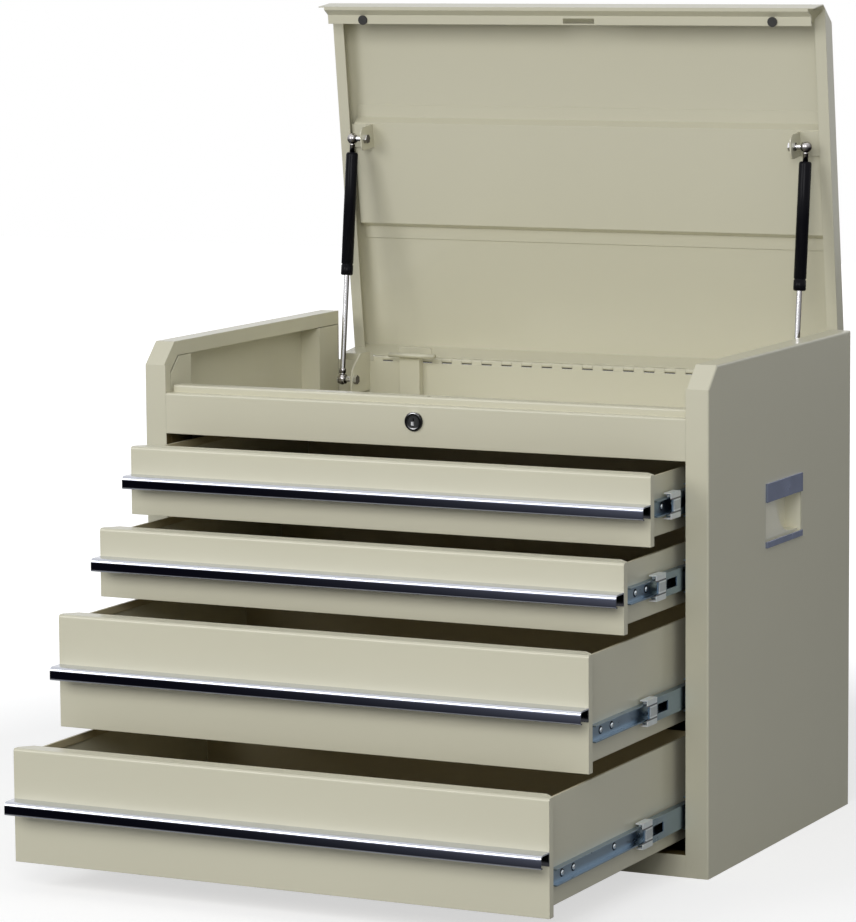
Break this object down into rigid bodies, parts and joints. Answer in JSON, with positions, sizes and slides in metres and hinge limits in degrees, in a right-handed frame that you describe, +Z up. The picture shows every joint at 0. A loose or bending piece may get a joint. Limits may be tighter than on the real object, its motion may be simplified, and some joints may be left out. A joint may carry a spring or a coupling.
{
  "type": "machinist tool chest",
  "caption": "Top tool chest of folded sheet steel with full-width drawers on ball-bearing slides, a till under a hinged lid held by gas struts, a cam lock and recessed side handles.",
  "frame": {"origin": "middle of the cabinet's underside, on the surface it stands on", "axes": "+X to the chest's right-hand side as seen from the front, -Y out of the front where the drawers open, +Z up"},
  "size_m": [0.664, 0.8116, 0.8883],
  "materials": {
    "cream_enamel": "glossy baked cream enamel on folded sheet steel",
    "zinc_plate": "bright zinc plating with a slight blue cast",
    "white_plastic": "moulded white nylon",
    "pull_aluminium": "extruded aluminium, clear anodised",
    "strut_black": "smooth black enamel",
    "strut_chrome": "hard chrome, polished",
    "hinge_steel": "plated steel strip",
    "bumper_rubber": "moulded black rubber",
    "lock_chrome": "polished chrome",
    "lock_black": "black lacquer"
  },
  "bodies": {
    "cabinet": {"back_panel": "cream_enamel", "bottom_panel": "cream_enamel", "drawer_1_slide_outer": "zinc_plate", "drawer_2_slide_outer": "zinc_plate", "drawer_3_slide_outer": "zinc_plate", "drawer_4_slide_outer": "zinc_plate", "front_bottom_rail": "cream_enamel", "front_top_rail": "cream_enamel", "front_uprights": "cream_enamel", "hinge_leaf_cabinet": "cream_enamel", "hinge_pin": "hinge_steel", "left_side_panel": "cream_enamel", "lock_barrel": "lock_chrome", "lock_nut": "zinc_plate", "lock_rod_studs": "zinc_plate", "rear_uprights": "cream_enamel", "right_side_panel": "cream_enamel", "side_handle_cups": "cream_enamel", "side_handle_grips": "pull_aluminium", "strut_lower_brackets": "cream_enamel", "strut_lower_studs": "strut_chrome", "till_floor": "cream_enamel"},
    "lid": {"lid_shell": "cream_enamel", "lid_stiffener": "cream_enamel", "hinge_leaf_lid": "cream_enamel", "lid_bumpers": "bumper_rubber", "strut_upper_brackets": "cream_enamel", "strut_upper_studs": "strut_chrome"},
    "lock_plug": {"lock_plug": "lock_black", "lock_cam": "zinc_plate"},
    "lock_rod": {"lock_rod": "cream_enamel"},
    "right_strut_rod": {"right_strut_rod": "strut_chrome"},
    "right_strut_tube": {"right_strut_tube": "strut_black"},
    "left_strut_rod": {"left_strut_rod": "strut_chrome"},
    "left_strut_tube": {"left_strut_tube": "strut_black"},
    "drawer_1": {"drawer_1_front": "cream_enamel", "drawer_1_tray": "cream_enamel", "drawer_1_pull": "pull_aluminium", "drawer_1_slide_inner": "zinc_plate"},
    "drawer_1_middle": {"drawer_1_slide_middle": "zinc_plate", "drawer_1_slide_cages": "white_plastic"},
    "drawer_2": {"drawer_2_front": "cream_enamel", "drawer_2_tray": "cream_enamel", "drawer_2_pull": "pull_aluminium", "drawer_2_slide_inner": "zinc_plate"},
    "drawer_2_middle": {"drawer_2_slide_middle": "zinc_plate", "drawer_2_slide_cages": "white_plastic"},
    "drawer_3": {"drawer_3_front": "cream_enamel", "drawer_3_tray": "cream_enamel", "drawer_3_pull": "pull_aluminium", "drawer_3_slide_inner": "zinc_plate"},
    "drawer_3_middle": {"drawer_3_slide_middle": "zinc_plate", "drawer_3_slide_cages": "white_plastic"},
    "drawer_4": {"drawer_4_front": "cream_enamel", "drawer_4_tray": "cream_enamel", "drawer_4_pull": "pull_aluminium", "drawer_4_slide_inner": "zinc_plate"},
    "drawer_4_middle": {"drawer_4_slide_middle": "zinc_plate", "drawer_4_slide_cages": "white_plastic"}
  },
  "joints": [
    {"name": "lid_hinge", "type": "hinge", "parent": "cabinet", "child": "lid", "pos_m": [0, 0.2057, 0.4776], "axis": [-1, 0, 0], "range_deg": [-83, 0], "stiffness_Nm_per_rad": 2, "springref_deg": 60.16},
    {"name": "drawer_1_slide", "type": "slide", "parent": "cabinet", "child": "drawer_1", "axis": [0, -1, 0], "range_m": [-0.082, 0.298]},
    {"name": "drawer_1_middle_slide", "type": "slide", "parent": "cabinet", "child": "drawer_1_middle", "axis": [0, -1, 0], "range_m": [-0.057, 0.20715]},
    {"name": "drawer_2_slide", "type": "slide", "parent": "cabinet", "child": "drawer_2", "axis": [0, -1, 0], "range_m": [-0.1492, 0.2308]},
    {"name": "drawer_2_middle_slide", "type": "slide", "parent": "cabinet", "child": "drawer_2_middle", "axis": [0, -1, 0], "range_m": [-0.095, 0.14696]},
    {"name": "drawer_3_slide", "type": "slide", "parent": "cabinet", "child": "drawer_3", "axis": [0, -1, 0], "range_m": [-0.2354, 0.1446]},
    {"name": "drawer_3_middle_slide", "type": "slide", "parent": "cabinet", "child": "drawer_3_middle", "axis": [0, -1, 0], "range_m": [-0.118, 0.07249]},
    {"name": "drawer_4_slide", "type": "slide", "parent": "cabinet", "child": "drawer_4", "axis": [0, -1, 0], "range_m": [-0.3287, 0.0513]},
    {"name": "drawer_4_middle_slide", "type": "slide", "parent": "cabinet", "child": "drawer_4_middle", "axis": [0, -1, 0], "range_m": [-0.13, 0.02029]},
    {"name": "right_strut_swing", "type": "hinge", "parent": "cabinet", "child": "right_strut_rod", "pos_m": [0.28, 0.1625, 0.456], "axis": [-1, 0, 0], "range_deg": [-85.44, 0]},
    {"name": "right_strut_stroke", "type": "slide", "parent": "right_strut_rod", "child": "right_strut_tube", "axis": [0, 0.1167, 0.9932], "range_m": [-0.06315, 0]},
    {"name": "left_strut_swing", "type": "hinge", "parent": "cabinet", "child": "left_strut_rod", "pos_m": [-0.28, 0.1625, 0.456], "axis": [-1, 0, 0], "range_deg": [-85.44, 0]},
    {"name": "left_strut_stroke", "type": "slide", "parent": "left_strut_rod", "child": "left_strut_tube", "axis": [0, 0.1167, 0.9932], "range_m": [-0.06315, 0]},
    {"name": "lock_turn", "type": "hinge", "parent": "cabinet", "child": "lock_plug", "pos_m": [-0.0044, -0.2, 0.4603], "axis": [0, -1, 0], "range_deg": [0, 90]},
    {"name": "lock_rod_drop", "type": "slide", "parent": "cabinet", "child": "lock_rod", "axis": [0, 0, 1], "range_m": [-0.005, 0]}
  ],
  "couplings": [
    {"joint": "drawer_1_middle_slide", "follows": "drawer_1_slide", "ratio": 0.69512},
    {"joint": "drawer_2_middle_slide", "follows": "drawer_2_slide", "ratio": 0.63673},
    {"joint": "drawer_3_middle_slide", "follows": "drawer_3_slide", "ratio": 0.50127},
    {"joint": "drawer_4_middle_slide", "follows": "drawer_4_slide", "ratio": 0.3955},
    {"joint": "right_strut_swing", "follows": "lid_hinge", "ratio": 1.0294},
    {"joint": "right_strut_stroke", "follows": "lid_hinge", "m_per_rad": 0.043595},
    {"joint": "left_strut_swing", "follows": "lid_hinge", "ratio": 1.0294},
    {"joint": "left_strut_stroke", "follows": "lid_hinge", "m_per_rad": 0.043595},
    {"joint": "lock_rod_drop", "follows": "lid_hinge", "m_per_rad": 0.003452}
  ]
}
